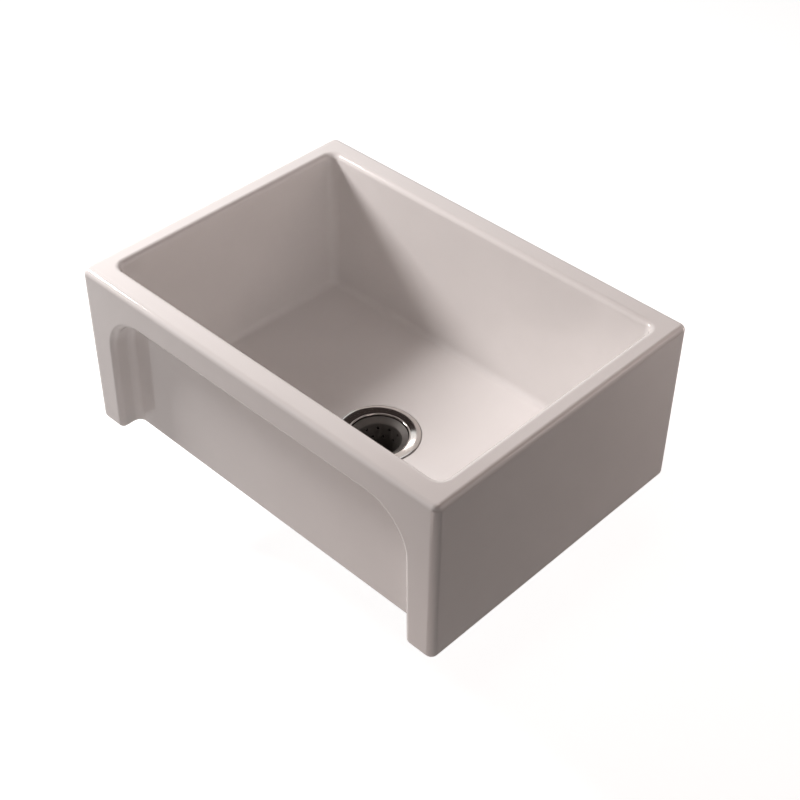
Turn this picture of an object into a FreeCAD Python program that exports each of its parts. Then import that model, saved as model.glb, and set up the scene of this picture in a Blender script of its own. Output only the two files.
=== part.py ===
import FreeCAD, Part
import math
import os

from FreeCAD import Vector

# A fireclay kitchen sink with an arched front recess and a basket strainer waste.
# X runs along the sink, the arched front faces -Y, and Z is up.
# The origin is on the axis of the waste, level with the underside. All sizes are in millimetres.

# Outside of the fireclay body
sink_length = 610.0
sink_width = 444.0
sink_height = 245.0
corner_radius = 10.0
rim_outer_round = 8.0
base_round = 6.5

# Basin: rim widths, walls and floor
side_rim = 28.0
front_rim = 35.0
back_rim = 33.0
front_wall = 21.0
floor_thickness = 24.0
basin_corner = 13.0
floor_round = 10.0
rim_inner_round = 8.0

# The inner front wall leans in, from a little below the rim's rounding, to leave room for the recess
lean_start = 4.0
lean_height = 60.0

# Arched recess in the front, open at the bottom between two feet
recess_depth = 30.0
leg_width = 49.0
leg_taper = 5.0
arch_drop = 46.5
arch_radius = 60.0
recess_lip = 8.0
recess_root = 10.0

# The floor falls to the waste from a level band along the walls
floor_band = 2.0
floor_fall = 8.5
fall_corner = 40.0
fall_side_angle = 38.0

# Waste opening round the cup, and the sunk seat for the flange
hole_clearance = 1.5
seat_depth = 4.0
seat_clearance = 1.0
seat_land = 2.0

# Shallow ground relief under the floor, where the gasket seals
relief_gap = 5.0
relief_depth = 1.5

# Strainer body: flange, threaded cup and outlet spigot, with a cross pressed into the spigot
flange_diameter = 114.3
flange_width = 16.15
flange_thickness = 1.3
flange_dish = 2.0
flange_edge_round = 0.6
mouth_round = 1.2
cup_wall = 2.0
cup_depth = 54.0
cup_taper_height = 14.0
cup_taper_width = 11.0
outlet_step = 0.05
spigot_length = 16.0
cross_drop = 6.0
cross_width = 4.0
cross_height = 5.0
hub_wall = 2.4

# Seals and nut that clamp the strainer to the floor
seal_thickness = 1.2
seal_cup_gap = 3.0
seal_edge_gap = 1.15
gasket_thickness = 3.0
gasket_cover = 12.5
fibre_thickness = 1.0
fibre_edge_gap = 1.0
thread_clearance = 0.5
locknut_height = 12.0
locknut_wall = 8.0
lug_count = 6
lug_width = 11.0
lug_reach = 6.0

# Tailpiece with its washer and coupling nut
tube_diameter = 38.1
tube_wall = 1.2
tailpiece_length = 96.0
tailpiece_flange_width = 3.45
tailpiece_flange_gap = 1.0
tailpiece_flange_thickness = 2.0
outlet_washer_thickness = 2.0
nut_wall = 4.5
nut_overlap = 11.0
nut_lip_height = 3.0
nut_clearance = 0.4
neck_rise = 0.6
neck_margin = 1.0

# Basket that lifts out, with its post, knob and stopper
basket_depth = 46.0
basket_rim_gap = 0.8
basket_ledge_width = 8.2
basket_taper_width = 5.5
basket_rim_drop = 5.0
sheet_thickness = 1.0
wall_hole_diameter = 4.0
wall_hole_count = 12
wall_hole_rows = 2
wall_row_pitch = 13.0
wall_row_start = 20.0
floor_hole_diameter = 4.0
floor_hole_count = 8
floor_hole_inset = 8.5
post_diameter = 4.0
post_end = 2.0
clip_clearance = 0.3
clip_wall = 1.3
clip_flange_width = 2.0
clip_flange_thickness = 0.8
knob_diameter = 19.0
knob_neck_wall = 3.0
knob_height = 10.0
knob_rise = 5.0
knob_socket_depth = 5.0
knob_round = 2.5
seat_gap = 0.3
stopper_height = 5.7
stopper_web_thickness = 4.0
stopper_edge_gap = 2.0
stopper_flare = 4.0
stopper_lip_width = 2.5
stopper_lip_slope_width = 3.5
washer_diameter = 24.0
washer_thickness = 1.0
post_nut_wall = 2.0
post_nut_height = 4.0

# How far a cutting solid runs past the face that it opens, and a drill through the sheet
cut_over = 5.0
drill_over = 3.0
# A rounding takes at most this share of the corner that it runs round
round_share = 0.9
level_tolerance = 0.01

# Planes and levels that several pieces share
front_y = -sink_width / 2
back_y = sink_width / 2
panel_y = front_y + recess_depth
arch_top_z = sink_height - arch_drop
arch_top_x = sink_length / 2 - leg_width
arch_foot_x = arch_top_x + leg_taper
basin_front_y = front_y + front_rim
basin_front_low_y = panel_y + front_wall
basin_back_y = back_y - back_rim
basin_half_x = sink_length / 2 - side_rim
floor_low_z = floor_thickness - floor_fall
seat_z = floor_low_z - seat_depth
flange_low_z = seat_z + seal_thickness
mouth_z = flange_low_z + flange_thickness
flange_top_z = mouth_z + flange_dish
cup_floor_z = mouth_z - cup_depth
gasket_low_z = relief_depth - gasket_thickness
fibre_low_z = gasket_low_z - fibre_thickness
locknut_low_z = fibre_low_z - locknut_height
spigot_low_z = cup_floor_z - cup_wall - spigot_length
cross_top_z = cup_floor_z - cross_drop
cross_low_z = cross_top_z - cross_height
outlet_washer_low_z = spigot_low_z - outlet_washer_thickness
tailpiece_shoulder_z = outlet_washer_low_z - tailpiece_flange_thickness
basket_low_z = cup_floor_z + seat_gap + stopper_height
basket_top_z = basket_low_z + basket_depth
stopper_web_z = basket_low_z - stopper_web_thickness
washer_low_z = stopper_web_z - washer_thickness

# Radii that follow from what a piece fits in, on or round
flange_radius = flange_diameter / 2
seat_radius = flange_radius + seat_clearance
cup_bore = flange_diameter - 2 * flange_width
cup_radius = cup_bore / 2
cup_floor_radius = cup_radius - cup_taper_width
thread_radius = cup_radius + cup_wall
waste_hole_radius = thread_radius + hole_clearance
gasket_radius = waste_hole_radius + gasket_cover
tube_radius = tube_diameter / 2
neck_radius = tube_radius + neck_rise
outlet_radius = tube_radius - outlet_step
tailpiece_flange_radius = tube_radius + tailpiece_flange_width
spigot_radius = tailpiece_flange_radius + tailpiece_flange_gap
post_radius = post_diameter / 2
clip_bore_radius = post_radius + clip_clearance
clip_radius = clip_bore_radius + clip_wall
basket_rim_radius = cup_radius - basket_rim_gap
basket_mouth_radius = basket_rim_radius - basket_ledge_width
basket_floor_radius = basket_mouth_radius - basket_taper_width
knob_low_z = basket_low_z + sheet_thickness + knob_rise


def revolved(points):
    # A solid of revolution about the waste axis, from (radius, height) corners
    corners = [Vector(radius, 0, height) for radius, height in points]
    face = Part.Face(Part.makePolygon(corners + corners[:1]))
    solid = Part.Solid(face.revolve(Vector(0, 0, 0), Vector(0, 0, 1), 360))
    if solid.Volume < 0:
        solid.reverse()
    return solid


def ring(inner_radius, outer_radius, low, high):
    return revolved([(inner_radius, low), (outer_radius, low), (outer_radius, high), (inner_radius, high)])


def hexagon(across_flats, low, height):
    radius = across_flats / math.sqrt(3)
    corners = [
        Vector(radius * math.cos(math.radians(60 * step)), radius * math.sin(math.radians(60 * step)), low)
        for step in range(6)
    ]
    return Part.Face(Part.makePolygon(corners + corners[:1])).extrude(Vector(0, 0, height))


def level_edges(shape, height):
    # Edges that lie wholly in one horizontal plane
    found = []
    for edge in shape.Edges:
        box = edge.BoundBox
        if abs(box.ZMin - height) < level_tolerance and abs(box.ZMax - height) < level_tolerance:
            found.append(edge)
    return found


def circle_edges(shape, radius, height):
    # Full circles about the waste axis, of one radius at one height
    found = []
    for edge in level_edges(shape, height):
        if abs(edge.BoundBox.XMax - radius) < level_tolerance:
            found.append(edge)
    return found


def recess():
    # The arched hollow of the front, with the rounded root along its panel
    start_y = front_y - cut_over
    low_x = arch_foot_x + leg_taper * cut_over / arch_top_z
    outline = [
        Vector(-low_x, start_y, -cut_over),
        Vector(low_x, start_y, -cut_over),
        Vector(arch_top_x, start_y, arch_top_z),
        Vector(-arch_top_x, start_y, arch_top_z),
    ]
    tool = Part.Face(Part.makePolygon(outline + outline[:1])).extrude(Vector(0, recess_depth + cut_over, 0))
    shoulders = []
    for edge in tool.Edges:
        box = edge.BoundBox
        if box.YLength > recess_depth and box.ZMin > arch_top_z - level_tolerance:
            shoulders.append(edge)
    tool = tool.makeFillet(arch_radius, shoulders)
    root = []
    for edge in tool.Edges:
        box = edge.BoundBox
        if box.YMin > panel_y - level_tolerance and box.ZMax > 0:
            root.append(edge)
    return tool.makeFillet(recess_root, root)


def lean_arc(start_y, start_z, radius, turn):
    # One half of the leaning stretch, from a vertical tangent at its start
    points = []
    for angle in (0, turn / 2, turn):
        across = radius * (1 - math.cos(angle))
        along = radius * math.sin(angle)
        points.append(Vector(-basin_half_x, start_y + across, start_z - along))
    return Part.Arc(*points).toShape()


def basin():
    # The hollow of the basin: a front-to-back section drawn along X, with rounded corners
    top_z = sink_height + cut_over
    lean_z = sink_height - rim_inner_round - lean_start
    lean_low_z = lean_z - lean_height
    lean = basin_front_low_y - basin_front_y
    lean_radius = (lean_height ** 2 + lean ** 2) / (4 * lean)
    lean_turn = math.asin(lean_height / 2 / lean_radius)
    start_x = -basin_half_x
    upper = lean_arc(basin_front_y, lean_z, lean_radius, lean_turn)
    lower = lean_arc(basin_front_low_y, lean_low_z, -lean_radius, lean_turn)
    back_low = Vector(start_x, basin_back_y, floor_thickness)
    back_top = Vector(start_x, basin_back_y, top_z)
    front_top = Vector(start_x, basin_front_y, top_z)
    front_low = Vector(start_x, basin_front_low_y, floor_thickness)
    edges = [
        Part.makeLine(back_low, back_top),
        Part.makeLine(back_top, front_top),
        Part.makeLine(front_top, Vector(start_x, basin_front_y, lean_z)),
        upper,
        lower,
        Part.makeLine(Vector(start_x, basin_front_low_y, lean_low_z), front_low),
        Part.makeLine(front_low, back_low),
    ]
    section = Part.Face(Part.Wire(Part.__sortEdges__(edges)))
    hollow = section.extrude(Vector(2 * basin_half_x, 0, 0))
    corners = []
    for edge in hollow.Edges:
        box = edge.BoundBox
        if box.XLength < level_tolerance and box.ZLength > level_tolerance:
            corners.append(edge)
    hollow = hollow.makeFillet(basin_corner, corners)
    floor_rounding = min(floor_round, round_share * basin_corner)
    return hollow.makeFillet(floor_rounding, level_edges(hollow, floor_thickness))


def rounded_outline(low_x, low_y, high_x, high_y, radius, height):
    # A rounded rectangle of eight edges, from the lower side's left end, anticlockwise
    centres = [
        (high_x - radius, low_y + radius, -90),
        (high_x - radius, high_y - radius, 0),
        (low_x + radius, high_y - radius, 90),
        (low_x + radius, low_y + radius, 180),
    ]
    edges = []
    last = Vector(low_x + radius, low_y, height)
    for centre_x, centre_y, start in centres:
        points = []
        for angle in (start, start + 45, start + 90):
            turn = math.radians(angle)
            out = Vector(radius * math.cos(turn), radius * math.sin(turn), height)
            points.append(Vector(centre_x, centre_y, 0) + out)
        edges.append(Part.makeLine(last, points[0]))
        edges.append(Part.Arc(*points).toShape())
        last = points[2]
    return Part.Wire(edges)


def split_circle(radius, height, half_side):
    # A circle in eight arcs that face the sides and corners of a rounded rectangle
    edges = []
    for side in range(4):
        middle = 90 * side - 90
        turns = (middle - half_side, middle + half_side, middle + 90 - half_side)
        for start, end in zip(turns, turns[1:]):
            points = []
            for angle in (start, (start + end) / 2, end):
                turn = math.radians(angle)
                points.append(Vector(radius * math.cos(turn), radius * math.sin(turn), height))
            edges.append(Part.Arc(*points).toShape())
    return Part.Wire(edges)


def falling_floor():
    # The shallow hollow between the level band along the walls and the waste
    inset = floor_round + floor_band
    half_x = basin_half_x - inset
    upper = rounded_outline(
        -half_x, basin_front_low_y + inset, half_x, basin_back_y - inset, fall_corner, floor_thickness
    )
    lower = split_circle(seat_radius + seat_land, floor_low_z, fall_side_angle)
    return Part.makeLoft([upper, lower], True, True)


def sink_body():
    block = Part.makeBox(
        sink_length, sink_width, sink_height, Vector(-sink_length / 2, front_y, 0)
    )
    uprights = [edge for edge in block.Edges if edge.BoundBox.ZLength > level_tolerance]
    block = block.makeFillet(corner_radius, uprights)
    block = block.cut(recess())
    lip = []
    for edge in block.Edges:
        box = edge.BoundBox
        on_front = box.YMax < front_y + level_tolerance
        in_arch = max(-box.XMin, box.XMax) < arch_foot_x + level_tolerance
        if on_front and in_arch:
            lip.append(edge)
    block = block.makeFillet(recess_lip, lip)
    block = block.makeFillet(rim_outer_round, level_edges(block, sink_height))
    foot_round = min(base_round, round_share * recess_lip)
    block = block.makeFillet(foot_round, level_edges(block, 0))
    block = block.cut(basin())
    inner = []
    for edge in level_edges(block, sink_height):
        box = edge.BoundBox
        if box.YMin > basin_front_y - level_tolerance and box.YMax < basin_back_y + level_tolerance:
            inner.append(edge)
    block = block.makeFillet(rim_inner_round, inner)
    block = block.cut(falling_floor())
    block = block.cut(Part.makeCylinder(seat_radius, floor_thickness, Vector(0, 0, seat_z)))
    below = Vector(0, 0, -cut_over)
    block = block.cut(Part.makeCylinder(gasket_radius + relief_gap, cut_over + relief_depth, below))
    return block.cut(Part.makeCylinder(waste_hole_radius, cut_over + floor_thickness, below))


def flange_underside(radius):
    # The flange is dished: it rises from the cup to its outer edge
    return flange_low_z + flange_dish * (radius - thread_radius) / (flange_radius - thread_radius)


def strainer_body():
    taper_z = cup_floor_z + cup_taper_height
    cup = revolved([
        (flange_radius, flange_underside(flange_radius)),
        (flange_radius, flange_top_z),
        (cup_radius, mouth_z),
        (cup_radius, taper_z),
        (cup_floor_radius, cup_floor_z),
        (outlet_radius, cup_floor_z),
        (outlet_radius, spigot_low_z),
        (spigot_radius, spigot_low_z),
        (spigot_radius, cup_floor_z - cup_wall),
        (cup_floor_radius + cup_wall, cup_floor_z - cup_wall),
        (thread_radius, taper_z - cup_wall),
        (thread_radius, flange_low_z),
    ])
    cup = cup.makeFillet(mouth_round, circle_edges(cup, cup_radius, mouth_z))
    return cup.makeFillet(flange_edge_round, circle_edges(cup, flange_radius, flange_top_z))


def outlet_cross():
    # Two bars and a hub, trimmed to the bore of the outlet
    bar = Part.makeBox(
        2 * outlet_radius, cross_width, cross_height, Vector(-outlet_radius, -cross_width / 2, cross_low_z)
    )
    across = bar.copy()
    across.rotate(Vector(0, 0, 0), Vector(0, 0, 1), 90)
    hub = Part.makeCylinder(clip_radius + hub_wall, cross_height, Vector(0, 0, cross_low_z))
    bore = Part.makeCylinder(outlet_radius, cross_height, Vector(0, 0, cross_low_z))
    clip_hole = Part.makeCylinder(clip_radius, cross_height, Vector(0, 0, cross_low_z))
    return bar.fuse([across, hub]).removeSplitter().common(bore).cut(clip_hole)


def post_clip():
    flange_high_z = cross_top_z + clip_flange_thickness
    return revolved([
        (clip_bore_radius, cross_low_z),
        (clip_radius, cross_low_z),
        (clip_radius, cross_top_z),
        (clip_radius + clip_flange_width, cross_top_z),
        (clip_radius + clip_flange_width, flange_high_z),
        (clip_bore_radius, flange_high_z),
    ])


def flange_seal():
    inner_radius = thread_radius + seal_cup_gap
    outer_radius = flange_radius - seal_edge_gap
    return revolved([
        (inner_radius, seat_z),
        (outer_radius, seat_z),
        (outer_radius, flange_underside(outer_radius)),
        (inner_radius, flange_underside(inner_radius)),
    ])


def lower_gasket():
    return ring(thread_radius + thread_clearance, gasket_radius, gasket_low_z, relief_depth)


def friction_washer():
    return ring(thread_radius + thread_clearance, gasket_radius - fibre_edge_gap, fibre_low_z, gasket_low_z)


def locknut():
    outer_radius = thread_radius + locknut_wall
    nut = ring(thread_radius, outer_radius, locknut_low_z, fibre_low_z)
    for step in range(lug_count):
        lug = Part.makeBox(
            outer_radius + lug_reach - thread_radius - cup_wall,
            lug_width,
            locknut_height,
            Vector(thread_radius + cup_wall, -lug_width / 2, locknut_low_z),
        )
        lug.rotate(Vector(0, 0, 0), Vector(0, 0, 1), 360 * step / lug_count)
        nut = nut.fuse(lug)
    return nut.removeSplitter()


def tailpiece_washer():
    return ring(tube_radius, tailpiece_flange_radius, outlet_washer_low_z, spigot_low_z)


def tailpiece():
    bore_radius = tube_radius - tube_wall
    # The neck under the flange is upset a little, so the tube itself starts below the coupling nut
    neck_low = tailpiece_shoulder_z - nut_lip_height - neck_margin
    low = neck_low - tailpiece_length
    return revolved([
        (bore_radius, low),
        (tube_radius, low),
        (tube_radius, neck_low),
        (neck_radius, neck_low),
        (neck_radius, tailpiece_shoulder_z),
        (tailpiece_flange_radius, tailpiece_shoulder_z),
        (tailpiece_flange_radius, outlet_washer_low_z),
        (bore_radius, outlet_washer_low_z),
    ])


def coupling_nut():
    low = tailpiece_shoulder_z - nut_lip_height
    high = spigot_low_z + nut_overlap
    body = hexagon(2 * (spigot_radius + nut_wall), low, high - low)
    hollow = revolved([
        (0, low - cut_over),
        (neck_radius + nut_clearance, low - cut_over),
        (neck_radius + nut_clearance, tailpiece_shoulder_z),
        (spigot_radius, tailpiece_shoulder_z),
        (spigot_radius, high + cut_over),
        (0, high + cut_over),
    ])
    return body.cut(hollow)


def basket_wall_radius(height):
    # Outside radius of the tapering basket wall at a height above the basket's underside
    mouth_height = basket_depth - sheet_thickness - basket_rim_drop
    return basket_floor_radius + basket_taper_width * height / mouth_height


def basket_cup():
    shelf_z = basket_top_z - sheet_thickness - basket_rim_drop
    cup = revolved([
        (basket_rim_radius, basket_top_z - sheet_thickness),
        (basket_mouth_radius, shelf_z),
        (basket_floor_radius, basket_low_z),
        (post_radius, basket_low_z),
        (post_radius, basket_low_z + sheet_thickness),
        (basket_floor_radius - sheet_thickness, basket_low_z + sheet_thickness),
        (basket_mouth_radius - sheet_thickness, shelf_z + sheet_thickness),
        (basket_rim_radius, basket_top_z),
    ])
    holes = []
    drill_length = sheet_thickness + 2 * drill_over
    for row in range(wall_hole_rows):
        height = wall_row_start + row * wall_row_pitch
        reach = basket_wall_radius(height) - sheet_thickness - drill_over
        for step in range(wall_hole_count):
            turn = math.radians(360 * (step + 0.5 * (row % 2)) / wall_hole_count)
            way = Vector(math.cos(turn), math.sin(turn), 0)
            start = way * reach + Vector(0, 0, basket_low_z + height)
            holes.append(Part.makeCylinder(wall_hole_diameter / 2, drill_length, start, way))
    for step in range(floor_hole_count):
        turn = math.radians(360 * step / floor_hole_count)
        way = Vector(math.cos(turn), math.sin(turn), 0)
        start = way * (basket_floor_radius - floor_hole_inset) + Vector(0, 0, basket_low_z - drill_over)
        holes.append(Part.makeCylinder(floor_hole_diameter / 2, drill_length, start))
    return cup.cut(holes)


def basket_post():
    tip_z = cross_low_z - post_end
    return Part.makeCylinder(post_radius, knob_low_z + knob_socket_depth - tip_z, Vector(0, 0, tip_z))


def basket_knob():
    neck_z = knob_low_z + knob_height / 2
    high = knob_low_z + knob_height
    knob = revolved([
        (post_radius, knob_low_z),
        (post_radius + knob_neck_wall, knob_low_z),
        (knob_diameter / 2, neck_z),
        (knob_diameter / 2, high),
        (0, high),
        (0, knob_low_z + knob_socket_depth),
        (post_radius, knob_low_z + knob_socket_depth),
    ])
    return knob.makeFillet(knob_round, circle_edges(knob, knob_diameter / 2, high))


def stopper():
    lip_radius = cup_floor_radius - stopper_edge_gap
    lip_z = cup_floor_z + seat_gap
    return revolved([
        (post_radius, stopper_web_z),
        (lip_radius - stopper_lip_width - stopper_lip_slope_width, stopper_web_z),
        (lip_radius - stopper_lip_width, lip_z),
        (lip_radius, lip_z),
        (lip_radius - stopper_flare, basket_low_z),
        (post_radius, basket_low_z),
    ])


def stopper_washer():
    return ring(post_radius, washer_diameter / 2, washer_low_z, stopper_web_z)


def post_nut():
    low = washer_low_z - post_nut_height
    bore = Part.makeCylinder(post_radius, post_nut_height, Vector(0, 0, low))
    return hexagon(2 * (post_radius + post_nut_wall), low, post_nut_height).cut(bore)


pieces = {
    "sink_body": sink_body,
    "strainer_body": strainer_body,
    "outlet_cross": outlet_cross,
    "post_clip": post_clip,
    "flange_seal": flange_seal,
    "lower_gasket": lower_gasket,
    "friction_washer": friction_washer,
    "locknut": locknut,
    "tailpiece_washer": tailpiece_washer,
    "tailpiece": tailpiece,
    "coupling_nut": coupling_nut,
    "basket_cup": basket_cup,
    "basket_post": basket_post,
    "basket_knob": basket_knob,
    "stopper": stopper,
    "stopper_washer": stopper_washer,
    "post_nut": post_nut,
}

os.makedirs("parts", exist_ok=True)
for name, make in pieces.items():
    shape = make()
    shape.exportStep("parts/" + name + ".step")
    box = shape.BoundBox
    print(name, "solids", len(shape.Solids), "valid", shape.isValid(), "volume", round(shape.Volume, 1),
          "z", round(box.ZMin, 2), "to", round(box.ZMax, 2))
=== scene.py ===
import bmesh
import bpy
import math
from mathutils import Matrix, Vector


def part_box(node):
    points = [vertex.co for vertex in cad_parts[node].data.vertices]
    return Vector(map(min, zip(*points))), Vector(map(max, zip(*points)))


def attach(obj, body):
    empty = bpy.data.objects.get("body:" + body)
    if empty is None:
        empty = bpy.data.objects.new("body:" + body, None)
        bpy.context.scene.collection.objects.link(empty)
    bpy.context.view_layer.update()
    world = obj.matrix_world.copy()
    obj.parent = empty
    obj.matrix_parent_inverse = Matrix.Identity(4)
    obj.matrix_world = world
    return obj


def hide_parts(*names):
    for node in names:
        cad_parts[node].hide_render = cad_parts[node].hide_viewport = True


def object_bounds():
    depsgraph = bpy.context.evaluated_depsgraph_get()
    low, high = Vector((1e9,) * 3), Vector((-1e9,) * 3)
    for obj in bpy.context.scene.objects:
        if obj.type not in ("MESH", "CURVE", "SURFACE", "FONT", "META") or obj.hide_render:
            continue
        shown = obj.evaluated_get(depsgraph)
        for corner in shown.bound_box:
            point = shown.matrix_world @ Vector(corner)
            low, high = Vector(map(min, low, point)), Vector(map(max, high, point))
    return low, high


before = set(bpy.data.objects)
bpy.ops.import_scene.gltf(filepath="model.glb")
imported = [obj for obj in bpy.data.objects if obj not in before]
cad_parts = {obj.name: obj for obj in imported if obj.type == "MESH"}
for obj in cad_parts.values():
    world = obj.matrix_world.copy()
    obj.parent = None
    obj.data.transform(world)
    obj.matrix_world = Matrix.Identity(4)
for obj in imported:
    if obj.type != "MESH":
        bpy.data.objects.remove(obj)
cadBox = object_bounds()

mm = 0.001
near = 0.02 * mm        # two places closer than this are the same place
cutOver = 5 * mm        # a cutting shape runs this far past the face it opens
turnSteps = 96          # faces around most turned pieces
smoothAngle = 40        # degrees; a sharper edge keeps a hard line in the shading
flatWeight = 100        # how much large faces lead the shading of small ones
softAngle = 30          # degrees; only sharper edges are softened
softSteps = 3           # faces across a softened edge


# Hand tools

def deselectAll():
    if bpy.context.mode != "OBJECT":
        bpy.ops.object.mode_set(mode="OBJECT")
    bpy.ops.object.select_all(action="DESELECT")


def makeActive(piece):
    deselectAll()
    piece.select_set(True)
    bpy.context.view_layer.objects.active = piece


def startEdit(piece, selectMode="EDGE"):
    makeActive(piece)
    bpy.ops.object.mode_set(mode="EDIT")
    bpy.ops.mesh.select_mode(type=selectMode)
    bpy.ops.mesh.select_all(action="DESELECT")
    return bmesh.from_edit_mesh(piece.data)


def endEdit():
    bpy.ops.object.mode_set(mode="OBJECT")


def same(first, second):
    return abs(first - second) < near


def pickEdges(piece, test):
    # selects the edges whose two ends pass the test, and stays in edit mode
    mesh = startEdit(piece)
    for edge in mesh.edges:
        if test(edge.verts[0].co, edge.verts[1].co):
            edge.select_set(True)
    bmesh.update_edit_mesh(piece.data)


def roundEdges(piece, test, radius, segments):
    pickEdges(piece, test)
    bpy.ops.mesh.bevel(offset=radius, offset_type="OFFSET", segments=segments, profile=0.5,
                       affect="EDGES", clamp_overlap=False)
    endEdit()


def addBlock(name, low, high):
    deselectAll()
    low = Vector(low)
    high = Vector(high)
    bpy.ops.mesh.primitive_cube_add(size=1, location=(low + high) / 2)
    piece = bpy.context.object
    piece.name = name
    piece.scale = high - low
    bpy.ops.object.transform_apply(location=True, rotation=True, scale=True)
    return piece


def cutAway(piece, tool):
    # takes the tool's shape out of the piece and throws the tool away
    makeActive(piece)
    cut = piece.modifiers.new("cut", "BOOLEAN")
    cut.operation = "DIFFERENCE"
    cut.solver = "EXACT"
    cut.object = tool
    bpy.ops.object.modifier_apply(modifier=cut.name)
    bpy.data.objects.remove(tool)


def weightNormals(piece):
    # large flat faces keep their own shading beside the roundings
    makeActive(piece)
    bpy.ops.object.shade_smooth_by_angle(angle=math.radians(smoothAngle))
    weight = piece.modifiers.new("weight", "WEIGHTED_NORMAL")
    weight.keep_sharp = True
    weight.weight = flatWeight
    bpy.ops.object.modifier_apply(modifier=weight.name)


def softenEdges(piece, width):
    makeActive(piece)
    soft = piece.modifiers.new("soft", "BEVEL")
    soft.width = width
    soft.segments = softSteps
    soft.limit_method = "ANGLE"
    soft.angle_limit = math.radians(softAngle)
    bpy.ops.object.modifier_apply(modifier=soft.name)


def extrudeRing(fromRadius, toRadius, rise):
    # the selected ring of edges becomes the next ring of a turned shape
    bpy.ops.mesh.extrude_region_move(TRANSFORM_OT_translate={"value": (0, 0, rise)})
    share = toRadius / fromRadius
    bpy.ops.transform.resize(value=(share, share, 1))


def turnPiece(name, profile, steps=turnSteps, hollow=True):
    # a profile of (radius, height) in mm, turned about the axis of the waste ring by ring;
    # a hollow one comes back to its first ring, a full one is capped at both ends
    deselectAll()
    radius, height = profile[0]
    bpy.ops.mesh.primitive_circle_add(vertices=steps, radius=radius * mm, location=(0, 0, height * mm))
    piece = bpy.context.object
    piece.name = name
    bpy.ops.object.transform_apply(location=True, rotation=True, scale=True)
    bpy.ops.object.mode_set(mode="EDIT")
    bpy.ops.mesh.select_mode(type="EDGE")
    bpy.ops.mesh.select_all(action="SELECT")
    for nextRadius, nextHeight in profile[1:] + (profile[:1] if hollow else []):
        extrudeRing(radius, nextRadius, (nextHeight - height) * mm)
        radius = nextRadius
        height = nextHeight
    bpy.ops.mesh.select_all(action="SELECT")
    bpy.ops.mesh.remove_doubles(threshold=near)
    if not hollow:
        bpy.ops.mesh.fill_holes(sides=0)
        bpy.ops.mesh.select_all(action="SELECT")
    bpy.ops.mesh.normals_make_consistent(inside=False)
    endEdit()
    return piece


threadShape = {"rootEnd": 0.2, "crestStart": 0.5, "crestEnd": 0.7}      # shares of one pitch


def threadRings(radius, low, high, pitch, depth):
    # roots and crests of a thread as rings in mm, from the bottom up, with a crest at the top
    rings = []
    for turn in range(int((high - low) / pitch)):
        start = low + turn * pitch
        rings += [
            (radius - depth, start),
            (radius - depth, start + threadShape["rootEnd"] * pitch),
            (radius, start + threadShape["crestStart"] * pitch),
            (radius, start + threadShape["crestEnd"] * pitch),
        ]
    return rings


def hexBlock(name, acrossFlats, low, high, softness):
    # a nut's outside in mm, with a corner on the X axis
    deselectAll()
    bpy.ops.mesh.primitive_cylinder_add(vertices=6, radius=acrossFlats * mm / math.sqrt(3),
                                        depth=(high - low) * mm, location=(0, 0, (low + high) / 2 * mm),
                                        rotation=(0, 0, math.radians(30)))
    piece = bpy.context.object
    piece.name = name
    bpy.ops.object.transform_apply(location=True, rotation=True, scale=True)
    softenEdges(piece, softness * mm)
    return piece


def dress(piece, body, slotName, material, *nodes):
    # gives a finished piece its shading and finish, its body and the nodes that it stands for
    weightNormals(piece)
    piece.data.materials.clear()
    piece.data.materials.append(material)
    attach(piece, body)
    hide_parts(*nodes)
    print("made", piece.name, len(piece.data.polygons), "faces")


# Materials

white = (1, 1, 1, 1)
mixShare = 0            # sockets of a Mix node that mixes colours
mixFirst = 6
mixSecond = 7
mixResult = 2


def hexColor(code):
    # an sRGB hex value as linear light
    channels = [int(code[start:start + 2], 16) / 255 for start in (1, 3, 5)]
    linear = [c / 12.92 if c <= 0.04045 else ((c + 0.055) / 1.055) ** 2.4 for c in channels]
    return (*linear, 1.0)


def addNode(tree, kind, settings, links=None):
    node = tree.nodes.new(kind)
    for key, value in settings.items():
        if isinstance(key, int) or key in node.inputs:
            node.inputs[key].default_value = value
        else:
            setattr(node, key, value)
    for key, source in (links or {}).items():
        tree.links.new(source, node.inputs[key])
    return node


def startMaterial(name, **shaderSettings):
    material = bpy.data.materials.new(name)
    material.use_nodes = True
    tree = material.node_tree
    shader = tree.nodes["Principled BSDF"]
    for key, value in shaderSettings.items():
        shader.inputs[key].default_value = value
    return material, tree, shader


glaze = {
    "ior": 1.52,
    "deep": "#E9E7E6",       # where the glaze pooled a little thicker
    "thin": "#EFEDEC",
    "mottleSize": 70,        # mm across one soft cloud of the glaze
    "mottleDetail": 3.0,
    "waveSize": 55,          # mm between the slow waves that firing leaves in a wall
    "waveDetail": 1.0,
    "waveHeight": 0.10,      # mm
    "peelSize": 5.0,         # mm, the faint orange peel of a sprayed glaze
    "peelDetail": 2.0,
    "peelHeight": 0.006,     # mm
    "glossLow": 0.06,
    "glossHigh": 0.12,
}


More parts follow.
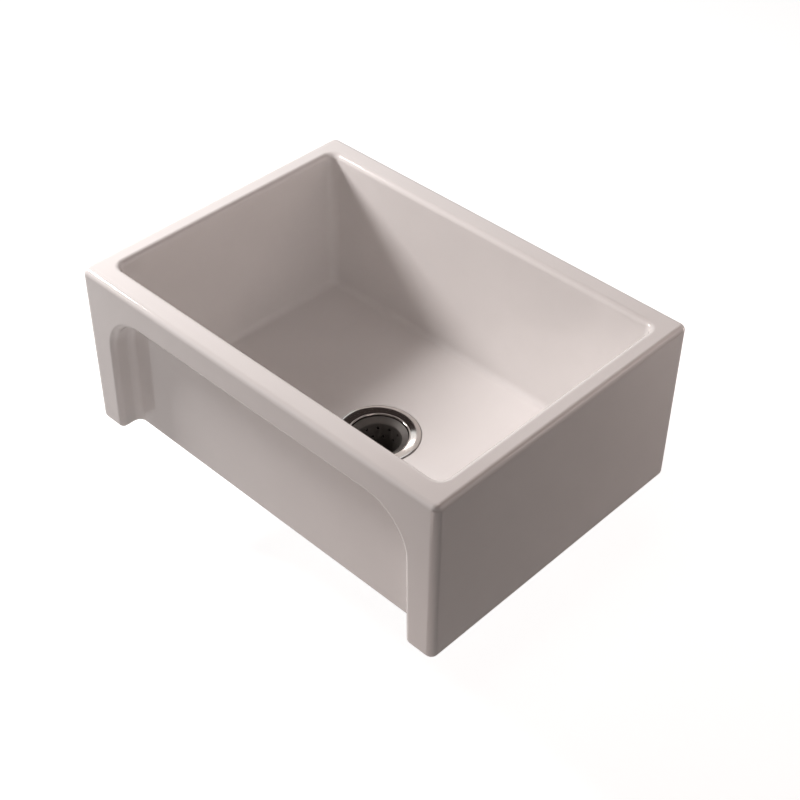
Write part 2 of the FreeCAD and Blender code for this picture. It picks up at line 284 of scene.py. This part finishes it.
def glazedFireclay():
    # Sprayed glaze fired on fireclay: warm white, wet gloss, reflections that waver a little.
    material, tree, shader = startMaterial("glazedFireclay", IOR=glaze["ior"])
    place = addNode(tree, "ShaderNodeTexCoord", {}).outputs["Object"]
    clouds = addNode(tree, "ShaderNodeTexNoise",
                     {"Scale": 1 / (glaze["mottleSize"] * mm), "Detail": glaze["mottleDetail"]},
                     {"Vector": place})
    tint = addNode(tree, "ShaderNodeMix",
                   {"data_type": "RGBA", mixFirst: hexColor(glaze["thin"]),
                    mixSecond: hexColor(glaze["deep"])},
                   {mixShare: clouds.outputs["Fac"]})
    tree.links.new(tint.outputs[mixResult], shader.inputs["Base Color"])
    gloss = addNode(tree, "ShaderNodeMapRange", {"To Min": glaze["glossLow"], "To Max": glaze["glossHigh"]},
                    {"Value": clouds.outputs["Fac"]})
    tree.links.new(gloss.outputs["Result"], shader.inputs["Roughness"])
    waves = addNode(tree, "ShaderNodeTexNoise",
                    {"Scale": 1 / (glaze["waveSize"] * mm), "Detail": glaze["waveDetail"]},
                    {"Vector": place})
    peel = addNode(tree, "ShaderNodeTexNoise",
                   {"Scale": 1 / (glaze["peelSize"] * mm), "Detail": glaze["peelDetail"]},
                   {"Vector": place})
    waveBump = addNode(tree, "ShaderNodeBump", {"Distance": glaze["waveHeight"] * mm, "Strength": 1.0},
                       {"Height": waves.outputs["Fac"]})
    peelBump = addNode(tree, "ShaderNodeBump", {"Distance": glaze["peelHeight"] * mm, "Strength": 1.0},
                       {"Height": peel.outputs["Fac"], "Normal": waveBump.outputs["Normal"]})
    tree.links.new(peelBump.outputs["Normal"], shader.inputs["Normal"])
    return material


metalDetail = 4.0       # how far the noise of a grain breaks up
softDetail = 5.0


def metalFinish(name, color, roughLow, roughHigh, grainSize, grainHeight, metallic=1.0):
    # a metal whose gloss wanders with its grain; sizes in mm
    material, tree, shader = startMaterial(name, Metallic=metallic)
    shader.inputs["Base Color"].default_value = hexColor(color)
    place = addNode(tree, "ShaderNodeTexCoord", {}).outputs["Object"]
    grain = addNode(tree, "ShaderNodeTexNoise", {"Scale": 1 / (grainSize * mm), "Detail": metalDetail},
                    {"Vector": place})
    gloss = addNode(tree, "ShaderNodeMapRange", {"To Min": roughLow, "To Max": roughHigh},
                    {"Value": grain.outputs["Fac"]})
    tree.links.new(gloss.outputs["Result"], shader.inputs["Roughness"])
    bump = addNode(tree, "ShaderNodeBump", {"Distance": grainHeight * mm, "Strength": 1.0},
                   {"Height": grain.outputs["Fac"]})
    tree.links.new(bump.outputs["Normal"], shader.inputs["Normal"])
    return material


def softFinish(name, light, dark, roughness, grainSize, grainHeight):
    # rubber, putty, fibre and nylon: two close shades in a grain; sizes in mm
    material, tree, shader = startMaterial(name, Roughness=roughness)
    place = addNode(tree, "ShaderNodeTexCoord", {}).outputs["Object"]
    grain = addNode(tree, "ShaderNodeTexNoise", {"Scale": 1 / (grainSize * mm), "Detail": softDetail},
                    {"Vector": place})
    tint = addNode(tree, "ShaderNodeMix",
                   {"data_type": "RGBA", mixFirst: hexColor(light), mixSecond: hexColor(dark)},
                   {mixShare: grain.outputs["Fac"]})
    tree.links.new(tint.outputs[mixResult], shader.inputs["Base Color"])
    bump = addNode(tree, "ShaderNodeBump", {"Distance": grainHeight * mm, "Strength": 1.0},
                   {"Height": grain.outputs["Fac"]})
    tree.links.new(bump.outputs["Normal"], shader.inputs["Normal"])
    return material


# A grain that is finer than a pixel in life is drawn a millimetre or more wide, so that it shows.
fireclay = glazedFireclay()
# Buffed stainless steel: a clear mirror, bent a little by the waves that the buffing wheel leaves.
polishedSteel = metalFinish("polishedStainlessSteel", "#D8D4D0", roughLow=0.05, roughHigh=0.10,
                            grainSize=9.0, grainHeight=0.004)
# Pressed stainless steel, satin, with a broad dull sheen instead of a mirror. Its dark base colour and low
# metal share are painted shade, far darker than real steel, standing for the shade deep in the waste cup.
pressedSteelPaintedShade = metalFinish("pressedStainlessSteelPaintedShade", "#5A5754", roughLow=0.48, roughHigh=0.60,
                           grainSize=1.6, grainHeight=0.006, metallic=0.35)
# Chrome plate on brass tube: a cool bright mirror with faint long waves.
chromedBrass = metalFinish("chromedBrass", "#CFCFD1", roughLow=0.05, roughHigh=0.12,
                           grainSize=14.0, grainHeight=0.004)
# Zinc as it leaves the mould: dull grey with a fine sandy skin.
castZinc = metalFinish("castZinc", "#8A8A8C", roughLow=0.42, roughHigh=0.60,
                       grainSize=1.2, grainHeight=0.05, metallic=0.85)
# Brass turned on a lathe: warm yellow with a soft sheen.
turnedBrass = metalFinish("turnedBrass", "#B08D4A", roughLow=0.22, roughHigh=0.36,
                          grainSize=1.0, grainHeight=0.01)
# Moulded rubber: near black and matt, with a faint bloom.
blackRubber = softFinish("mouldedRubber", "#202020", "#161616", roughness=0.62,
                         grainSize=1.5, grainHeight=0.03)
# Putty pressed out by the flange: chalky beige, slightly lumpy.
sealingPutty = softFinish("sealingPutty", "#B0A899", "#978F82", roughness=0.80,
                          grainSize=4.0, grainHeight=0.10)
# Pressed fibre: dry brown with short flecks.
pressedFibre = softFinish("pressedFibre", "#94734C", "#7A5B38", roughness=0.90,
                          grainSize=2.0, grainHeight=0.06)
# Moulded nylon: milky off-white with a low sheen.
mouldedNylon = softFinish("mouldedNylon", "#DCD9CE", "#D0CCC0", roughness=0.45,
                          grainSize=3.0, grainHeight=0.02)
print("materials ready")


# Fireclay body

sinkSize = {                    # mm
    "cornerRound": 10, "rimOuterRound": 8, "rimInnerRound": 8, "baseRound": 6.5,
    "sideRim": 28, "frontRim": 35, "backRim": 33, "frontWall": 21,
    "floorEdge": 24, "basinCorner": 13, "floorRound": 10,
    "leanStart": 12, "leanHeight": 60,
    "recessDepth": 30, "legWidth": 49, "legTaper": 5, "archDrop": 46.5, "archRadius": 60,
    "recessLip": 8, "recessRoot": 10,
    "floorFall": 8.5, "floorBand": 2, "fallCorner": 40,
    "fallRing": 60.15, "seatRadius": 58.15, "seatDepth": 4,
    "holeRadius": 44.5, "reliefRadius": 62, "reliefDepth": 1.5,
}
sinkSteps = {                   # how finely each curve is divided
    "corner": 10, "edge": 8, "base": 6, "arch": 32, "lean": 12,
    "fallCorner": 8, "fallSide": 23, "fallRings": 14, "relief": 128,
}
sink = {key: value * mm for key, value in sinkSize.items()}
sinkLow, sinkHigh = (Vector(corner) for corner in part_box("sink_body"))
panelY = sinkLow.y + sink["recessDepth"]
archTopX = sinkHigh.x - sink["legWidth"]
archTopZ = sinkHigh.z - sink["archDrop"]
archFootX = archTopX + sink["legTaper"]
basinX = sinkHigh.x - sink["sideRim"]
basinFrontY = sinkLow.y + sink["frontRim"]
basinBackY = sinkHigh.y - sink["backRim"]
leanDepth = panelY + sink["frontWall"] - basinFrontY
floorZ = sinkLow.z + sink["floorEdge"]


def makeArchTool():
    low = (-archTopX, sinkLow.y - cutOver, sinkLow.z - cutOver)
    tool = addBlock("archTool", low, (archTopX, panelY, archTopZ))
    pickEdges(tool, lambda a, b: same(a.z, low[2]) and same(b.z, low[2]))
    spread = (archFootX + sink["legTaper"] * cutOver / archTopZ) / archTopX
    bpy.ops.transform.resize(value=(spread, 1, 1))
    endEdit()
    roundEdges(tool, lambda a, b: same(a.z, archTopZ) and same(b.z, archTopZ) and not same(a.y, b.y),
               sink["archRadius"], sinkSteps["arch"])
    roundEdges(tool, lambda a, b: same(a.y, panelY) and same(b.y, panelY) and a.z + b.z > 2 * low[2] + near,
               sink["recessRoot"], sinkSteps["edge"])
    return tool


def leanAt(depth):
    # how far the inner front wall has leant in, from two equal arcs
    height = sink["leanHeight"]
    radius = (height ** 2 + leanDepth ** 2) / (4 * leanDepth)
    down = min(max(depth - sink["leanStart"], 0), height)
    if down < height / 2:
        return radius - math.sqrt(radius ** 2 - down ** 2)
    return leanDepth - radius + math.sqrt(radius ** 2 - (height - down) ** 2)


def makeBasinTool():
    topZ = sinkHigh.z + cutOver
    tool = addBlock("basinTool", (-basinX, basinFrontY, floorZ), (basinX, basinBackY, topZ))
    levels = [floorZ]
    for step in range(sinkSteps["lean"] + 1):
        down = sink["leanStart"] + sink["leanHeight"] * step / sinkSteps["lean"]
        level = sinkHigh.z - down
        levels.append(level)
        startEdit(tool)
        bpy.ops.mesh.select_all(action="SELECT")
        bpy.ops.mesh.bisect(plane_co=(0, 0, level), plane_no=(0, 0, 1))
        endEdit()
    for level in levels:
        pickEdges(tool, lambda a, b: same(a.z, level) and same(b.z, level)
                  and a.y + b.y < 2 * basinFrontY + near)
        bpy.ops.transform.translate(value=(0, leanAt(sinkHigh.z - level), 0))
        endEdit()
    roundEdges(tool, lambda a, b: same(abs(a.x), basinX) and same(a.x, b.x) and not same(a.z, b.z)
               and (same(a.y, basinBackY) or a.y < basinFrontY + leanDepth + near),
               sink["basinCorner"], sinkSteps["corner"])
    roundEdges(tool, lambda a, b: same(a.z, floorZ) and same(b.z, floorZ),
               sink["floorRound"], sinkSteps["edge"])
    return tool


def makeWasteTool():
    # the floor's fall from a rounded rectangle to the ring of the waste, then seat and hole
    inset = sink["floorRound"] + sink["floorBand"]
    halfX = basinX - inset
    lowY = panelY + sink["frontWall"] + inset
    highY = basinBackY - inset
    ringZ = floorZ - sink["floorFall"]
    seatZ = ringZ - sink["seatDepth"]
    deselectAll()
    bpy.ops.mesh.primitive_plane_add(size=1, location=(0, (lowY + highY) / 2, floorZ))
    tool = bpy.context.object
    tool.name = "wasteTool"
    tool.scale = (2 * halfX, highY - lowY, 1)
    bpy.ops.object.transform_apply(location=True, rotation=True, scale=True)
    startEdit(tool, "VERT")
    bpy.ops.mesh.select_all(action="SELECT")
    bpy.ops.mesh.bevel(offset=sink["fallCorner"], segments=sinkSteps["fallCorner"], affect="VERTICES",
                       clamp_overlap=False)
    endEdit()
    pickEdges(tool, lambda a, b: (a - b).length > 2 * sink["fallCorner"])
    bpy.ops.mesh.subdivide(number_cuts=sinkSteps["fallSide"])
    bpy.ops.mesh.select_mode(type="FACE")
    bpy.ops.mesh.select_all(action="SELECT")
    bpy.ops.mesh.delete(type="ONLY_FACE")
    endEdit()
    ringCount = len(tool.data.vertices)
    startEdit(tool)
    bpy.ops.mesh.primitive_circle_add(vertices=ringCount, radius=sink["fallRing"], location=(0, 0, ringZ))
    bpy.ops.mesh.select_all(action="SELECT")
    bpy.ops.mesh.bridge_edge_loops(number_cuts=sinkSteps["fallRings"], interpolation="LINEAR")
    endEdit()
    rings = [
        (sink["seatRadius"], ringZ),
        (sink["seatRadius"], seatZ),
        (sink["holeRadius"], seatZ),
        (sink["holeRadius"], sinkLow.z - cutOver),
    ]
    lastRadius = sink["fallRing"]
    lastZ = ringZ
    pickEdges(tool, lambda a, b: same(a.z, ringZ) and same(b.z, ringZ))
    for radius, height in rings:
        extrudeRing(lastRadius, radius, height - lastZ)
        lastRadius = radius
        lastZ = height
    bpy.ops.mesh.edge_face_add()
    endEdit()
    pickEdges(tool, lambda a, b: same(a.z, floorZ) and same(b.z, floorZ))
    bpy.ops.mesh.extrude_region_move(TRANSFORM_OT_translate={"value": (0, 0, cutOver)})
    bpy.ops.mesh.edge_face_add()
    bpy.ops.mesh.select_all(action="SELECT")
    bpy.ops.mesh.normals_make_consistent(inside=False)
    endEdit()
    return tool


def makeReliefTool():
    deselectAll()
    depth = cutOver + sink["reliefDepth"]
    middleZ = sinkLow.z + sink["reliefDepth"] - depth / 2
    bpy.ops.mesh.primitive_cylinder_add(vertices=sinkSteps["relief"], radius=sink["reliefRadius"],
                                        depth=depth, location=(0, 0, middleZ))
    tool = bpy.context.object
    tool.name = "reliefTool"
    bpy.ops.object.transform_apply(location=True, rotation=True, scale=True)
    return tool


def makeSinkBody():
    body = addBlock("fireclaySink", sinkLow, sinkHigh)
    roundEdges(body, lambda a, b: not same(a.z, b.z), sink["cornerRound"], sinkSteps["corner"])
    cutAway(body, makeArchTool())
    roundEdges(body, lambda a, b: same(a.y, sinkLow.y) and same(b.y, sinkLow.y)
               and max(abs(a.x), abs(b.x)) < archFootX + near, sink["recessLip"], sinkSteps["edge"])
    roundEdges(body, lambda a, b: same(a.z, sinkHigh.z) and same(b.z, sinkHigh.z),
               sink["rimOuterRound"], sinkSteps["edge"])
    roundEdges(body, lambda a, b: same(a.z, sinkLow.z) and same(b.z, sinkLow.z),
               sink["baseRound"], sinkSteps["base"])
    cutAway(body, makeBasinTool())
    roundEdges(body, lambda a, b: same(a.z, sinkHigh.z) and same(b.z, sinkHigh.z)
               and max(abs(a.x), abs(b.x)) < basinX + near
               and min(a.y, b.y) > basinFrontY - near and max(a.y, b.y) < basinBackY + near,
               sink["rimInnerRound"], sinkSteps["edge"])
    cutAway(body, makeWasteTool())
    cutAway(body, makeReliefTool())
    return body


dress(makeSinkBody(), "sink", "fireclay_glaze", fireclay, "sink_body")


# Strainer: domed flange with a thin bead round its mouth, threaded cup and threaded outlet.
# Profiles here and below are rings of (radius, height) in mm.

strainerSize = {
    "steps": 128,
    "inside": [
        (57.15, 14.7), (57.15, 15.4), (56.97, 15.83), (56.55, 15.97),                   # rolled outer edge
        (54.0, 15.90), (51.5, 15.74), (49.0, 15.50), (46.5, 15.19), (43.2, 14.70),      # domed face
        (42.6, 14.72), (42.1, 14.92), (41.7, 14.95),                                    # bead
        (41.3, 14.80), (41.05, 14.50), (41.0, 14.00),
        (41.0, -24.5), (40.8, -25.7), (40.2, -26.9),                # bore and its turn into the taper
        (31.2, -38.4), (30.2, -39.5), (28.8, -40.0),
        (19.9, -40.0), (19.3, -40.2), (19.0, -40.8), (19.0, -57.6),     # seat of the stopper, outlet
        (19.4, -58.0), (22.7, -58.0),
    ],
    "outletThread": {"radius": 23.5, "low": -57.6, "high": -44.0, "pitch": 1.8, "depth": 0.6},
    "underside": [
        (23.5, -43.0), (24.1, -42.2), (25.0, -42.0),
        (31.4, -42.0), (32.6, -41.4), (42.2, -29.2), (43.0, -27.4),
    ],
    "cupThread": {"radius": 43.0, "low": -26.0, "high": 7.0, "pitch": 2.2, "depth": 0.7},
    "neck": [(43.0, 8.0), (43.0, 12.2), (43.3, 12.65), (44.0, 12.84)],
}
strainerProfile = (strainerSize["inside"] + threadRings(**strainerSize["outletThread"])
                   + strainerSize["underside"] + threadRings(**strainerSize["cupThread"])
                   + strainerSize["neck"])
strainer = turnPiece("strainerBody", strainerProfile, strainerSize["steps"])
dress(strainer, "sink", "polished_steel", polishedSteel, "strainer_body")


# Lift-out basket: pressed cup with a sloping ledge, two rows of wall holes and a ring of floor holes

basketSize = {
    "profile": [
        (40.2, 11.2), (39.9, 10.9), (33.4, 6.9), (32.5, 6.2), (31.95, 5.2),         # ledge, underside
        (27.0, -30.2), (26.5, -32.0), (25.5, -33.3), (24.0, -34.0), (2.1, -34.0),   # outside
        (2.1, -33.0), (23.9, -33.0), (25.0, -32.5), (25.7, -31.6), (26.0, -30.4),   # inside
        (31.0, 5.6), (31.5, 6.7), (32.5, 7.6), (39.6, 11.9), (40.0, 12.0), (40.2, 11.7),
    ],
    "wallHole": 4.0, "wallCount": 12, "wallRows": (-14.0, -1.0), "wallRadius": 29.0, "wallDrill": 12,
    "floorHole": 4.0, "floorCount": 8, "floorLevel": -33.5, "floorCircle": 18.0, "floorDrill": 8,
    "holeSteps": 20,
}


def drillAt(place, turn, diameter, length):
    bpy.ops.mesh.primitive_cylinder_add(vertices=basketSize["holeSteps"], radius=diameter / 2 * mm,
                                        depth=length * mm, location=[value * mm for value in place],
                                        rotation=turn)
    return bpy.context.object


def makeBasket():
    size = basketSize
    cup = turnPiece("basketCup", size["profile"])
    deselectAll()
    drills = []
    for row, height in enumerate(size["wallRows"]):
        for step in range(size["wallCount"]):
            angle = 2 * math.pi * (step + row / 2) / size["wallCount"]      # the next row is staggered
            reach = size["wallRadius"]
            place = (reach * math.cos(angle), reach * math.sin(angle), height)
            drills.append(drillAt(place, (0, math.pi / 2, angle), size["wallHole"], size["wallDrill"]))
    for step in range(size["floorCount"]):
        angle = 2 * math.pi * step / size["floorCount"]
        reach = size["floorCircle"]
        place = (reach * math.cos(angle), reach * math.sin(angle), size["floorLevel"])
        drills.append(drillAt(place, (0, 0, 0), size["floorHole"], size["floorDrill"]))
    deselectAll()
    for drill in drills:
        drill.select_set(True)
    bpy.context.view_layer.objects.active = drills[0]
    bpy.ops.object.join()
    bpy.ops.object.transform_apply(location=True, rotation=True, scale=True)
    cutAway(cup, drills[0])
    return cup


# the basket's dark steel colour is painted shade, for the shade deep in the waste cup
dress(makeBasket(), "basket", "pressed_steel", pressedSteelPaintedShade, "basket_cup")

knobSize = {
    "steps": 64,
    "profile": [
        (5.0, -28.0), (5.2, -27.6), (8.9, -23.5), (9.4, -22.8), (9.5, -22.2),           # waist to rim
        (9.5, -20.5), (9.2, -19.3), (8.4, -18.4), (7.2, -18.0), (6.0, -18.05), (4.6, -18.35),
    ],
}
knob = turnPiece("basketKnob", knobSize["profile"], knobSize["steps"], hollow=False)
dress(knob, "basket", "polished_steel", polishedSteel, "basket_knob")

postSize = {
    "steps": 32,
    "tip": [(1.4, -53.0), (2.0, -52.4)],
    "thread": {"radius": 2.0, "low": -46.0, "high": -38.6, "pitch": 0.7, "depth": 0.18},
    "shank": [(2.0, -38.0), (2.0, -23.1)],
}
postProfile = postSize["tip"] + threadRings(**postSize["thread"]) + postSize["shank"]
post = turnPiece("basketPost", postProfile, postSize["steps"], hollow=False)
# the post has the same dark steel, with its painted shade
dress(post, "basket", "pressed_steel", pressedSteelPaintedShade, "basket_post")

stopperSize = {
    "profile": [
        (2.05, -38.0), (21.6, -38.0), (22.4, -38.2), (25.2, -39.6),                     # underside
        (25.8, -39.7), (27.5, -39.7), (27.9, -39.55), (27.95, -39.2),                   # sealing lip
        (24.6, -34.6), (23.6, -34.05), (22.8, -34.0), (2.05, -34.0),
    ],
}
stopperPiece = turnPiece("stopperRubber", stopperSize["profile"])
dress(stopperPiece, "basket", "black_rubber", blackRubber, "stopper")

postNutSize = {
    "outside": {"acrossFlats": 8.0, "low": -43.0, "high": -39.0, "softness": 0.4},
    "bore": [(2.02, -46.0), (2.02, -36.0)],
    "boreSteps": 32,
}
postNut = hexBlock("postNut", **postNutSize["outside"])
cutAway(postNut, turnPiece("postNutBore", postNutSize["bore"], postNutSize["boreSteps"], hollow=False))
dress(postNut, "basket", "brass", turnedBrass, "post_nut")


# Clamping pieces under the floor

gasketSize = {
    "profile": [
        (43.5, -1.1), (43.8, -1.45), (44.4, -1.5), (56.2, -1.5), (56.8, -1.3), (57.0, -0.7),
        (57.0, 0.7), (56.8, 1.3), (56.2, 1.5), (44.4, 1.5), (43.8, 1.45), (43.5, 1.1),
    ],
}
gasket = turnPiece("rubberGasket", gasketSize["profile"])
dress(gasket, "sink", "black_rubber", blackRubber, "lower_gasket")

locknutSize = {
    "steps": 120,
    "bore": 43.0, "outside": 51.0, "low": -14.5, "high": -2.5,      # radii and heights in mm
    "lugs": 6,
    "halfLug": 6.0,             # degrees
    "reach": 57.0,              # mm, radius over the lugs
    "outsideSlack": 0.5,        # mm; faces at the outside are picked with this much room
    "softness": 0.8,            # mm
}


def makeLocknut():
    size = locknutSize
    profile = [
        (size["bore"], size["low"]), (size["outside"], size["low"]),
        (size["outside"], size["high"]), (size["bore"], size["high"]),
    ]
    nut = turnPiece("locknut", profile, size["steps"])
    lugTurn = 360 / size["lugs"]
    mesh = startEdit(nut, "FACE")
    for face in mesh.faces:
        middle = face.calc_center_median()
        angle = math.degrees(math.atan2(middle.y, middle.x)) % lugTurn
        onLug = min(angle, lugTurn - angle) < size["halfLug"]
        if onLug and math.hypot(middle.x, middle.y) > (size["outside"] - size["outsideSlack"]) * mm:
            face.select_set(True)
    bmesh.update_edit_mesh(nut.data)
    bpy.ops.mesh.extrude_region_move(TRANSFORM_OT_translate={"value": (0, 0, 0)})
    share = size["reach"] / size["outside"]
    bpy.ops.transform.resize(value=(share, share, 1))
    endEdit()
    softenEdges(nut, size["softness"] * mm)
    return nut


dress(makeLocknut(), "sink", "zinc", castZinc, "locknut")


# Outlet: tailpiece with its upset neck and flange, and the nut that holds it

tailpieceSize = {
    "profile": [
        (17.85, -161.7), (18.15, -162.0), (18.75, -162.0), (19.05, -161.7),             # open end
        (19.05, -66.0), (19.35, -65.5), (19.65, -65.0), (19.65, -62.8),                 # upset neck
        (19.9, -62.2), (20.5, -62.0), (22.2, -62.0), (22.5, -61.7),                     # flange
        (22.5, -60.3), (22.2, -60.0), (18.4, -60.0), (18.0, -60.2), (17.85, -60.6),
    ],
}
tailpiece = turnPiece("tailpieceTube", tailpieceSize["profile"])
dress(tailpiece, "sink", "chromed_tube", chromedBrass, "tailpiece")

couplingSize = {
    "outside": {"acrossFlats": 56.0, "low": -65.0, "high": -47.0, "softness": 1.6},
    "bore": [
        (20.8, -70.0), (20.8, -65.0), (20.05, -64.3), (20.05, -62.0),
        (23.5, -62.0), (23.5, -47.8), (24.3, -47.0), (24.3, -40.0),
    ],
}
couplingNut = hexBlock("couplingNut", **couplingSize["outside"])
cutAway(couplingNut, turnPiece("couplingBore", couplingSize["bore"], hollow=False))
dress(couplingNut, "sink", "chromed_tube", chromedBrass, "coupling_nut")


# Thin rings, the clip and the cross keep the shape of the frame and get their finishes

# the cross and the stopper washer take the same dark steel, with its painted shade
nodeFinish = {
    "outlet_cross": pressedSteelPaintedShade, "post_clip": mouldedNylon, "flange_seal": sealingPutty,
    "friction_washer": pressedFibre, "tailpiece_washer": mouldedNylon, "stopper_washer": pressedSteelPaintedShade,
}
for nodeName, finish in nodeFinish.items():
    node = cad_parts[nodeName]
    node.data.materials.clear()
    node.data.materials.append(finish)
print("hardware dressed")


# Studio: white floor and backdrop, key at the left, weaker boxes behind, above and in front, two low cards

studio = {
    "floorSize": 12.0,          # m
    "floorColor": "#C4C4C4",
    "floorRoughness": 0.9,
    "floorGlow": 0.86,          # what the camera sees of the floor before any light falls on it
    "mirrorShare": 0.25,        # a reflection sees this share of that glow, besides the lit floor itself
    "horizonTop": 42.8,         # degrees; below it a reflection sees the white backdrop, above it the room
    "horizonBlur": 1.0,         # degrees
    "roomColor": "#393230",     # dim and warm, as light that comes back from the room
    "aim": (0, 0, 0.12),        # m, where every softbox points
    "keyTint": (1.0, 0.94, 0.92),
    "fillTint": (1.0, 0.83, 0.77),
}
softboxes = {                   # place and size in m, power in W
    "keySoftbox": {"place": (-1.30, -0.42, 1.073), "size": 0.43, "power": 30.5},
    "backSoftbox": {"place": (0.65, 1.20, 0.90), "size": 0.80, "power": 1.80},
    "rightSoftbox": {"place": (1.00, 0.75, 0.80), "size": 0.40, "power": 0.75},
    "topSoftbox": {"place": (0.30, 0.0, 0.90), "size": 0.30, "power": 0.82},
    "frontSoftbox": {"place": (0.20, -1.60, 1.00), "size": 0.60, "power": 1.40},
    "frontCard": {"place": (0.20, -0.62, -0.08), "size": 0.25, "power": 0.40},
    "sideCard": {"place": (0.70, 1.00, 0.25), "size": 0.30, "power": 1.80},
}


def addSoftbox(name, place, size, power):
    turn = (Vector(studio["aim"]) - Vector(place)).to_track_quat("-Z", "Y").to_euler()
    bpy.ops.object.light_add(type="AREA", location=place, rotation=turn)
    lamp = bpy.context.object
    lamp.name = name
    lamp.data.size = size
    lamp.data.energy = power
    lamp.data.color = studio["keyTint" if name == "keySoftbox" else "fillTint"]


def rayKinds(tree):
    # 1 for a ray from the camera, and 1 for a ray that gloss or glass has sent on
    path = addNode(tree, "ShaderNodeLightPath", {})
    mirrored = addNode(tree, "ShaderNodeMath", {"operation": "ADD"},
                       {0: path.outputs["Is Glossy Ray"], 1: path.outputs["Is Transmission Ray"]})
    return path.outputs["Is Camera Ray"], mirrored.outputs[0]


def addFloor():
    # Matt studio paper: plain white to the camera, with the soft shadow of the object.
    deselectAll()
    lowest = cadBox[0][2]
    bpy.ops.mesh.primitive_plane_add(size=studio["floorSize"], location=(0, 0, lowest))
    floor = bpy.context.object
    floor.name = "studioFloor"
    bpy.ops.object.transform_apply(location=True, rotation=True, scale=True)
    material, tree, shader = startMaterial("paperFloor", Roughness=studio["floorRoughness"])
    shader.inputs["Base Color"].default_value = hexColor(studio["floorColor"])
    cameraRay, mirrorRay = rayKinds(tree)
    seen = addNode(tree, "ShaderNodeMath", {"operation": "MULTIPLY_ADD", 1: studio["mirrorShare"]},
                   {0: mirrorRay, 2: cameraRay})
    glow = addNode(tree, "ShaderNodeMath", {"operation": "MULTIPLY", 1: studio["floorGlow"]},
                   {0: seen.outputs[0]})
    shader.inputs["Emission Color"].default_value = white
    tree.links.new(glow.outputs[0], shader.inputs["Emission Strength"])
    material.cycles.emission_sampling = "NONE"      # the glow is only looked at, it lights nothing
    floor.data.materials.append(material)


def addRoom():
    # white to the camera; a reflection sees white up to the horizon and the dim room above it
    world = bpy.data.worlds.new("studioRoom")
    bpy.context.scene.world = world
    world.use_nodes = True
    tree = world.node_tree
    way = addNode(tree, "ShaderNodeTexCoord", {})
    split = addNode(tree, "ShaderNodeSeparateXYZ", {}, {"Vector": way.outputs["Generated"]})
    halfBlur = studio["horizonBlur"] / 2
    blurTop = math.sin(math.radians(studio["horizonTop"] + halfBlur))
    blurEnd = math.sin(math.radians(studio["horizonTop"] - halfBlur))
    below = addNode(tree, "ShaderNodeMapRange", {"From Min": blurTop, "From Max": blurEnd},
                    {"Value": split.outputs["Z"]})
    cameraRay, mirrorRay = rayKinds(tree)
    share = addNode(tree, "ShaderNodeMath", {"operation": "MULTIPLY_ADD"},
                    {0: below.outputs["Result"], 1: mirrorRay, 2: cameraRay})
    tint = addNode(tree, "ShaderNodeMix",
                   {"data_type": "RGBA", mixFirst: hexColor(studio["roomColor"]), mixSecond: white},
                   {mixShare: share.outputs[0]})
    tree.links.new(tint.outputs[mixResult], tree.nodes["Background"].inputs["Color"])


cameraSet = {
    "place": (1.0515, -1.0675, 1.3742),     # m
    "turn": (49.085, -0.617, 44.028),       # degrees
    "lens": 68.7,                           # mm
    "sensor": 36.0,                         # mm
}


def addCamera():
    bpy.ops.object.camera_add(location=cameraSet["place"],
                              rotation=[math.radians(angle) for angle in cameraSet["turn"]])
    camera = bpy.context.object
    camera.data.lens = cameraSet["lens"]
    camera.data.sensor_width = cameraSet["sensor"]
    bpy.context.scene.camera = camera


addFloor()
addRoom()
for boxName, box in softboxes.items():
    addSoftbox(boxName, box["place"], box["size"], box["power"])
addCamera()
bpy.context.scene.view_settings.view_transform = "Standard"
print("studio ready")
